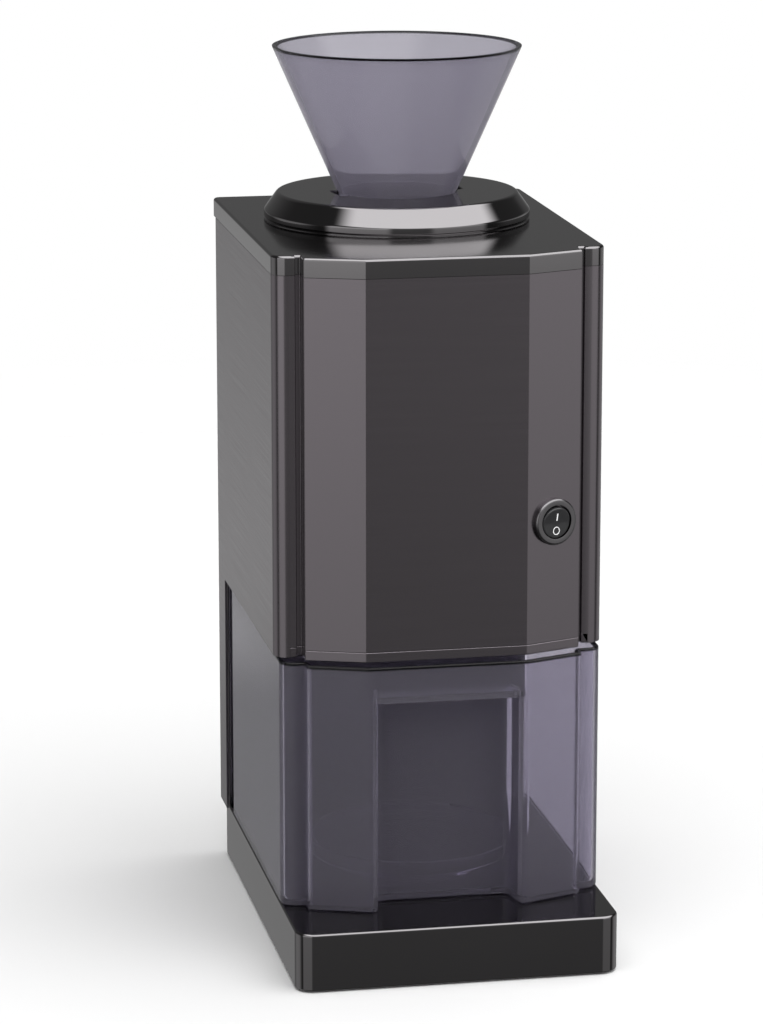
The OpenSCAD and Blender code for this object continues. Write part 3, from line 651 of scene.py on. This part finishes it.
def make_collar():
    """The gloss collar: an upright band, a straight shoulder, two bayonet slots and a tube."""
    top = COLLAR_HI.z
    foot = COVER_HI.z
    wide = COLLAR_HI.x
    hole = collar_hole(HOLE_R, SLOT_R)
    hole_soft = collar_hole(HOLE_R + 0.5, SLOT_R + 0.5)
    band = [(0.8, 0), (0.8, 0.5), (0.65, 0.9), (0.25, 1.2), (0, 1.6), (0, 3.9)]
    band += [(0.08, 4.4), (0.25, 4.85), (0.5, 5.2)]
    profile = [(wide - inwards, foot + up) for inwards, up in band]
    corner = (COLLAR_FLAT_R, top)
    before, after = (COLLAR_FLAT_R + 1, top - 1.3), (COLLAR_FLAT_R - 1.4, top)
    for k in range(9):
        t = k / 8
        a, b, c = (1 - t) ** 2, 2 * t * (1 - t), t * t
        profile.append(tuple(a * u + b * v + c * w for u, v, w in zip(before, corner, after)))
    profile += [(50, top), (hole_soft, top), (hole, top - 0.5)]
    under = top - COLLAR_LIP
    profile += [(hole, under), (TUBE_IN_R, under - 0.02), (TUBE_IN_R, COLLAR_LO.z)]
    profile += [(TUBE_R, COLLAR_LO.z), (TUBE_R, under), (60, under)]
    profile += [(wide - COLLAR_SKIN, foot + 4), (wide - COLLAR_SKIN, foot)]
    shape = lathe(profile, (0, AXIS_Y), 240)
    collar = new_piece("collar_ring", *shape, "machine", ["collar"], "gloss_black", 30)
    paint(collar, MATERIALS["gloss_black"])


# ---- funnel -----------------------------------------------------------------
FUNNEL_SLOPE = 0.4426
FUNNEL_WALL = 2.5
NECK_R, NECK_IN_R = 31.4, 28.9
LUG_R = 35.2
LUG_Z0, LUG_Z1 = 382, 385
RIM_SOFT = 0.8


def make_funnel():
    """The smoked funnel: one wall all round, a rounded rim, a neck and two lugs."""
    rim_z = FUNNEL_HI.z
    neck_z = FUNNEL_LO.z
    rim_r = FUNNEL_HI.x
    seat_z = COLLAR_HI.z + 0.2
    seat_r = rim_r - (rim_z - seat_z) * FUNNEL_SLOPE
    side = FUNNEL_WALL / math.cos(math.atan(FUNNEL_SLOPE))
    lug = collar_hole(NECK_R, LUG_R, -4, 36)
    profile = [(NECK_IN_R + 0.4, neck_z), (NECK_R - 0.4, neck_z), (NECK_R, neck_z + 0.5)]
    profile += [(NECK_R, LUG_Z0), (lug, LUG_Z0 + 0.01), (lug, LUG_Z1 - 0.01), (NECK_R, LUG_Z1)]
    profile += [(NECK_R, seat_z), (seat_r - 0.3, seat_z), (seat_r, seat_z + 0.3)]
    below_rim = rim_z - RIM_SOFT
    for k in range(1, 12):
        z = seat_z + (below_rim - seat_z) * k / 11
        profile.append((rim_r - (rim_z - z) * FUNNEL_SLOPE, z))
    profile += [(rim_r - 0.25, rim_z - 0.2), (rim_r - RIM_SOFT, rim_z)]
    profile += [(rim_r - side + RIM_SOFT, rim_z), (rim_r - side + 0.1, rim_z - 0.25)]
    throat_z = rim_z - (rim_r - side - NECK_IN_R) / FUNNEL_SLOPE
    for k in range(11):
        z = below_rim + (throat_z + 1 - below_rim) * k / 10
        profile.append((rim_r - side - (rim_z - z) * FUNNEL_SLOPE, z))
    profile += [(NECK_IN_R + 0.1, throat_z - 0.3), (NECK_IN_R, throat_z - 1.5)]
    profile += [(NECK_IN_R, neck_z + 0.5)]
    funnel = new_piece("funnel_cone", *lathe(profile, (0, AXIS_Y), 192), "funnel", ["funnel"],
                       "smoked_plastic", 30)
    paint(funnel, SMOKED_FUNNEL)


# ---- ice container ----------------------------------------------------------
BIN_WALL = 2.5
BIN_FORWARD = 7
BIN_FRONT = FRONT_Y - BIN_FORWARD
RECESS_HALF = 37.7
RECESS_BACK_HALF = 35.3
RECESS_DEPTH = 18.0
RECESS_TOP = 145.3
RECESS_SOFT = 3.0
LIP_HEIGHT = 5.9
LIP_OUT = 1.8
STEP_R = 56.0
STEP_HEIGHT = 7.5
STEP_Y = 5.0
STEP_SIDES = 128


def bin_outline():
    """Plan of the container with its finger recess, counter-clockwise from the middle facet."""
    corners = faceted_corners(BIN_HI.x, BIN_FORWARD, BIN_HI.y, False, PILLAR_R, 5)
    recess = [
        (-RECESS_HALF, BIN_FRONT, RECESS_SOFT),
        (-RECESS_BACK_HALF, BIN_FRONT + RECESS_DEPTH, 4),
        (RECESS_BACK_HALF, BIN_FRONT + RECESS_DEPTH, 4),
        (RECESS_HALF, BIN_FRONT, RECESS_SOFT),
    ]
    return rounded(corners + recess, 6)


def in_recess(x, y, shift):
    """True for the outline points that form the finger recess."""
    return abs(x) < RECESS_HALF + RECESS_SOFT + 0.5 and y < BIN_FRONT + shift + RECESS_DEPTH + 1


def without_recess(outline, shift=0.0, lip=0.0):
    """The outline with its recess flattened to the front wall, which a lip may push out."""
    flat = []
    for x, y in outline:
        if in_recess(x, y, shift):
            y = BIN_FRONT + shift - (lip if abs(x) < RECESS_HALF - 0.4 else 0)
        flat.append((x, y))
    return flat


def make_container():
    """The smoked container: even walls, finger recess with a lip, and a raised round floor."""
    outer = bin_outline()
    inner = inset(outer, BIN_WALL)
    low, high = BIN_LO.z, BIN_HI.z
    rings = fillet_rings(outer, low, 1.0, 4, upwards=False)[::-1]
    rings += [lift(outer, RECESS_TOP - 0.6), lift(outer, RECESS_TOP - 0.15)]
    rings += [
        lift(without_recess(outer, 0, LIP_OUT - 0.3), RECESS_TOP),
        lift(without_recess(outer, 0, LIP_OUT), RECESS_TOP + 0.4),
        lift(without_recess(outer, 0, LIP_OUT - 0.2), RECESS_TOP + 1.0),
        lift(without_recess(outer, 0, 0.15), RECESS_TOP + LIP_HEIGHT - 0.3),
        lift(without_recess(outer), RECESS_TOP + LIP_HEIGHT),
    ]
    rim = without_recess(outer)
    rings += fillet_rings(rim, high, 0.9, 4)
    inner_flat = without_recess(inner, BIN_WALL)
    for shift, down in ((-0.9, 0.0), (-0.3, 0.3)):
        rings.append(lift(inset(inner_flat, shift), high - down))
    rings.append(lift(inner_flat, high - 0.9))
    ledge = RECESS_TOP + BIN_WALL
    rings += [lift(inner_flat, ledge + 0.5), lift(inner_flat, ledge)]
    rings += [lift(inner, ledge), lift(inner, ledge - 0.5)]
    floor_z = low + BIN_WALL
    for shift, up in ((0.0, 2.0), (0.6, 0.6), (2.0, 0.0)):
        rings.append(lift(inset(inner, shift), floor_z + up))
    bottom_outline, floor_outline = outline_of(rings[0]), outline_of(rings[-1])
    top_z = floor_z + STEP_HEIGHT
    step = [(STEP_R + 1, floor_z), (STEP_R + 0.3, floor_z + 0.3), (STEP_R, floor_z + 1)]
    step += [(STEP_R, top_z - 1.2), (STEP_R - 0.35, top_z - 0.35), (STEP_R - 1.2, top_z)]
    under_z = top_z - BIN_WALL
    under_r = STEP_R - BIN_WALL
    under = [(under_r, low), (under_r, under_z - 0.8), (under_r - 0.8, under_z)]
    step_rings = [lift(circle_outline(r, 0, STEP_Y, STEP_SIDES), z) for r, z in step]
    under_rings = [lift(circle_outline(r, 0, STEP_Y, STEP_SIDES), z) for r, z in under]
    round_cap = tuple(range(STEP_SIDES))
    shell = joined(
        loft(rings, caps=False),
        plate_with_hole(floor_outline, outline_of(step_rings[0]), floor_z, True),
        loft(step_rings, caps=False),
        (step_rings[-1], [round_cap]),
        plate_with_hole(bottom_outline, outline_of(under_rings[0]), low, False),
        loft(under_rings, caps=False),
        (under_rings[-1], [round_cap]),
    )
    container = new_piece("container_shell", *shell, "ice_container", ["ice_container"],
                          "smoked_plastic", 28)
    paint(container, MATERIALS["smoked_plastic"])


# ---- switch -----------------------------------------------------------------
SWITCH_ALONG = 15.9
BEZEL_R = 12.4
BEZEL_IN_R = 8.9
BEZEL_DEPTH = 3.0
BEZEL_SOFT = 1.3
TUB_R = 10
TUB_DEPTH = 17
ROCKER_R = 8.35
ROCKER_PIVOT = 1.0
ROCKER_TILT = math.radians(7)
ROCKER_FRONT = -3.6
ROCKER_RISE = 0.8


def at_switch(points):
    """Points from the switch's frame (along the facet, inwards, up) into the machine's frame."""
    ca, sa = math.cos(FACET_ANGLE), math.sin(FACET_ANGLE)
    cx = FACET_IN + SWITCH_ALONG * ca
    cy = FRONT_Y + SWITCH_ALONG * sa
    cz = (SWITCH_LO.z + SWITCH_HI.z) / 2
    return [(cx + x * ca - y * sa, cy + x * sa + y * ca, cz + z) for x, y, z in points]


def tilted(points):
    """Points of the rocker, turned about its pivot to the off position."""
    c, s = math.cos(ROCKER_TILT), math.sin(ROCKER_TILT)
    return [(x, y * c - z * s + ROCKER_PIVOT, y * s + z * c) for x, y, z in points]


def barrel_rings(profile):
    """Rings about the switch's inward axis from (radius, depth) pairs."""
    return [[(x, depth, z) for x, z in circle_outline(radius, 0, 0)] for radius, depth in profile]


def make_bezel():
    """The switch's round bezel and its tub."""
    front = -BEZEL_DEPTH
    profile = [(TUB_R, TUB_DEPTH), (TUB_R, 0.05), (BEZEL_R - 0.1, 0.05), (BEZEL_R, -0.15)]
    for degrees in range(0, 91, 15):
        a = math.radians(degrees)
        radius = BEZEL_R - BEZEL_SOFT * (1 - math.cos(a))
        profile.append((radius, front + BEZEL_SOFT * (1 - math.sin(a))))
    profile += [(BEZEL_IN_R + 0.3, front), (BEZEL_IN_R + 0.08, front + 0.08)]
    profile += [(BEZEL_IN_R, front + 0.3), (BEZEL_IN_R, 12)]
    verts, faces = loft(barrel_rings(profile))
    bezel = new_piece("switch_bezel", at_switch(verts), faces, "machine", ["switch_housing"],
                      "gloss_black", 30)
    paint(bezel, BEZEL_METAL)


def rocker_face(z):
    """Depth of the rocker's shallow V face before tilting."""
    return ROCKER_FRONT - ROCKER_RISE * math.sqrt(z * z + 0.5) / ROCKER_R


def make_rocker():
    """The rocker: a round button with a shallow V face and a soft edge."""
    edge = 0.9
    rings = barrel_rings([(ROCKER_R - 0.6, 2.5), (ROCKER_R, 1.9)])
    for k in range(6):
        a = math.pi / 2 * k / 5
        circle = circle_outline(ROCKER_R - edge * (1 - math.cos(a)), 0, 0)
        rings.append([(x, rocker_face(z) + edge * (1 - math.sin(a)), z) for x, z in circle])
    for radius in (6.5, 5, 3.5, 2, 0.8):
        rings.append([(x, rocker_face(z), z) for x, z in circle_outline(radius, 0, 0)])
    verts, faces = loft(rings)
    rocker = new_piece("rocker_button", at_switch(tilted(verts)), faces, "rocker", ["rocker"],
                       "gloss_black", 40)
    paint(rocker, ROCKER_BLACK)


def make_marks():
    """The generic on and off marks, printed slightly proud of the rocker."""
    proud = 0.07
    half_stroke, half_bar, bar_z = 0.36, 1.75, 3.3
    ring_r, ring_in_r, ring_z, squeeze = 2.2, 1.75, -4.2, 0.92
    bar = []
    for k in range(24):
        a = math.pi * (2 * k + 1) / 24
        end_z = bar_z + math.copysign(half_bar, math.sin(a))
        bar.append((half_stroke * math.cos(a), end_z + half_stroke * math.sin(a)))
    rings = []
    for lift_out in (-proud, proud):
        rings.append([(x, rocker_face(z) - lift_out, z) for x, z in bar])
    verts, faces = loft(rings)
    on_mark = new_piece("mark_on", at_switch(tilted(verts)), faces, "rocker", (),
                        "gloss_black", 40)
    paint(on_mark, MARK_WHITE)
    rings = []
    for radius, out in ((ring_r, -proud), (ring_r, proud), (ring_in_r, proud), (ring_in_r, -proud)):
        circle = circle_outline(radius, 0, ring_z, 48)
        rings.append([(x * squeeze, rocker_face(z) - out, z) for x, z in circle])
    verts, faces = loft(rings, close_rings=True)
    off_mark = new_piece("mark_off", at_switch(tilted(verts)), faces, "rocker", (),
                         "gloss_black", 40)
    paint(off_mark, MARK_WHITE)


# ---- stage, camera and light ------------------------------------------------
def make_floor():
    """A pale round floor that fades out into the white surroundings."""
    bm = bmesh.new()
    bmesh.ops.create_circle(bm, cap_ends=True, segments=96, radius=2.2)
    mesh = bpy.data.meshes.new("floor")
    bm.to_mesh(mesh)
    bm.free()
    floor = bpy.data.objects.new("floor", mesh)
    bpy.context.scene.collection.objects.link(floor)
    material, tree, shader = new_material("floor_white")
    shader.inputs["Base Color"].default_value = (0.66, 0.66, 0.66, 1)
    shader.inputs["Roughness"].default_value = 0.6
    place = tree.nodes.new("ShaderNodeTexCoord")
    length = tree.nodes.new("ShaderNodeVectorMath")
    length.operation = "LENGTH"
    tree.links.new(place.outputs["Object"], length.inputs[0])
    fade = remap(tree, length.outputs["Value"], 1.0, 0.0, (0.6, 1.6))
    path = tree.nodes.new("ShaderNodeLightPath")
    unreflected = arithmetic(tree, "LESS_THAN", path.outputs["Glossy Depth"], 0.5)
    tree.links.new(arithmetic(tree, "MULTIPLY", fade, unreflected), shader.inputs["Alpha"])
    paint(floor, material)
    floor.visible_glossy = False


def make_camera():
    """The camera stands in front, to the left and above, with a long lens."""
    data = bpy.data.cameras.new("camera")
    data.sensor_width = 36
    data.lens = 144.34
    data.shift_x = -0.0052
    data.shift_y = -0.0122
    data.clip_end = 50
    camera = bpy.data.objects.new("camera", data)
    camera.location = (-0.42127, -2.1138, 0.72374)
    camera.rotation_euler = (math.radians(77.09), 0, math.radians(-10.91))
    bpy.context.scene.collection.objects.link(camera)
    bpy.context.scene.camera = camera


# The studio that reflections see. Panels: from, to and edge softness in degrees of azimuth
# (0 is straight in front, right is positive), then radiance. Fades are in the sine of elevation.
AROUND = 0.065
FRONT_PANELS = ((-73, -17, 8, 1.10), (20, 71, 8, 0.87), (-17, 20, 8, 0.24))
PANEL_FADE = (-0.46, -0.05)
PANEL_TOP = (0.5, 0.3)
SIDE_PANELS = (92, 138, 24, 0.45)
SIDE_TOP = (0.1, 0.3)
BEHIND = (145, 30)
BEHIND_FADE = (-0.25, 0.02)
BEHIND_LOW = 0.42
BEHIND_HIGH = 0.07
NEAR_EDGE = (-0.262, 0.02)
BEHIND_NEAR = 0.22
SKY_TOWARDS = (0.20, -0.25, 0.947)
SKY_EDGE = (0.69, 0.16)
SKY_LEVEL = 3.0
TOP_POWER = 5


def make_world():
    """White to the eye; reflections see pale panels, a bright soft sky and dim surroundings."""
    world = bpy.data.worlds.new("studio")
    world.use_nodes = True
    bpy.context.scene.world = world
    tree = world.node_tree
    tree.nodes.clear()
    output = tree.nodes.new("ShaderNodeOutputWorld")
    place = tree.nodes.new("ShaderNodeTexCoord")
    split = tree.nodes.new("ShaderNodeSeparateXYZ")
    tree.links.new(place.outputs["Generated"], split.inputs[0])
    forward = arithmetic(tree, "MULTIPLY", split.outputs["Y"], -1)
    angle = arithmetic(tree, "ARCTAN2", split.outputs["X"], forward)
    degrees = arithmetic(tree, "MULTIPLY", angle, 180 / math.pi)
    away = arithmetic(tree, "ABSOLUTE", degrees, 0)
    height = split.outputs["Z"]

    level = 0.0
    for start, end, soft, radiance in FRONT_PANELS:
        band = arithmetic(tree, "MULTIPLY", soft_band(tree, degrees, start, end, soft), radiance)
        level = arithmetic(tree, "ADD", band, level)
    level = arithmetic(tree, "MULTIPLY", level, remap(tree, height, 0.0, 1.0, PANEL_FADE))
    level = arithmetic(tree, "MULTIPLY", level, soft_step(tree, height, *PANEL_TOP, 1.0, 0.0))

    start, end, soft, radiance = SIDE_PANELS
    sides = arithmetic(tree, "MULTIPLY", soft_band(tree, away, start, end, soft), radiance)
    sides = arithmetic(tree, "MULTIPLY", sides, soft_step(tree, height, *SIDE_TOP, 1.0, 0.0))
    level = arithmetic(tree, "ADD", level, sides)

    rear = remap(tree, height, BEHIND_LOW, BEHIND_HIGH, BEHIND_FADE)
    rear = arithmetic(tree, "MULTIPLY", rear, soft_step(tree, height, *NEAR_EDGE))
    near = soft_step(tree, height, *NEAR_EDGE, BEHIND_NEAR, 0.0)
    rear = arithmetic(tree, "ADD", rear, near)
    rear = arithmetic(tree, "MULTIPLY", soft_step(tree, away, *BEHIND), rear)
    level = arithmetic(tree, "ADD", arithmetic(tree, "ADD", level, rear), AROUND)

    facing = tree.nodes.new("ShaderNodeVectorMath")
    facing.operation = "DOT_PRODUCT"
    tree.links.new(place.outputs["Generated"], facing.inputs[0])
    facing.inputs[1].default_value = Vector(SKY_TOWARDS).normalized()
    sky = soft_step(tree, facing.outputs["Value"], *SKY_EDGE, 0.0, SKY_LEVEL)
    level = arithmetic(tree, "ADD", level, sky)

    lighting = tree.nodes.new("ShaderNodeBackground")
    seen = tree.nodes.new("ShaderNodeBackground")
    for background in (lighting, seen):
        background.inputs["Color"].default_value = (1, 1, 1, 1)
    tree.links.new(level, lighting.inputs["Strength"])
    path = tree.nodes.new("ShaderNodeLightPath")
    unreflected = arithmetic(tree, "LESS_THAN", path.outputs["Glossy Depth"], 0.5)
    through = arithmetic(tree, "MULTIPLY", path.outputs["Is Transmission Ray"], unreflected)
    direct = arithmetic(tree, "MAXIMUM", path.outputs["Is Camera Ray"], through)
    mix = tree.nodes.new("ShaderNodeMixShader")
    tree.links.new(direct, mix.inputs[0])
    tree.links.new(lighting.outputs[0], mix.inputs[1])
    tree.links.new(seen.outputs[0], mix.inputs[2])
    tree.links.new(mix.outputs[0], output.inputs["Surface"])


def make_top_light():
    """One very large, weak soft box overhead; it doesn't show in reflections."""
    data = bpy.data.lights.new("top_box", "AREA")
    data.shape = "RECTANGLE"
    data.size, data.size_y = 3.2, 2.4
    data.energy = TOP_POWER
    light = bpy.data.objects.new("top_box", data)
    light.location = (0.22, -0.35, 1.9)
    direction = Vector((0.05, 0, 0.3)) - light.location
    light.rotation_euler = direction.to_track_quat("-Z", "Y").to_euler()
    light.visible_glossy = False
    bpy.context.scene.collection.objects.link(light)


bpy.context.scene.view_settings.view_transform = "Standard"
make_camera()
make_base()
make_wrap()
make_trim()
make_cover()
make_collar()
make_funnel()
make_container()
make_bezel()
make_rocker()
make_marks()
dress_cad_nodes()
make_floor()
make_world()
make_top_light()
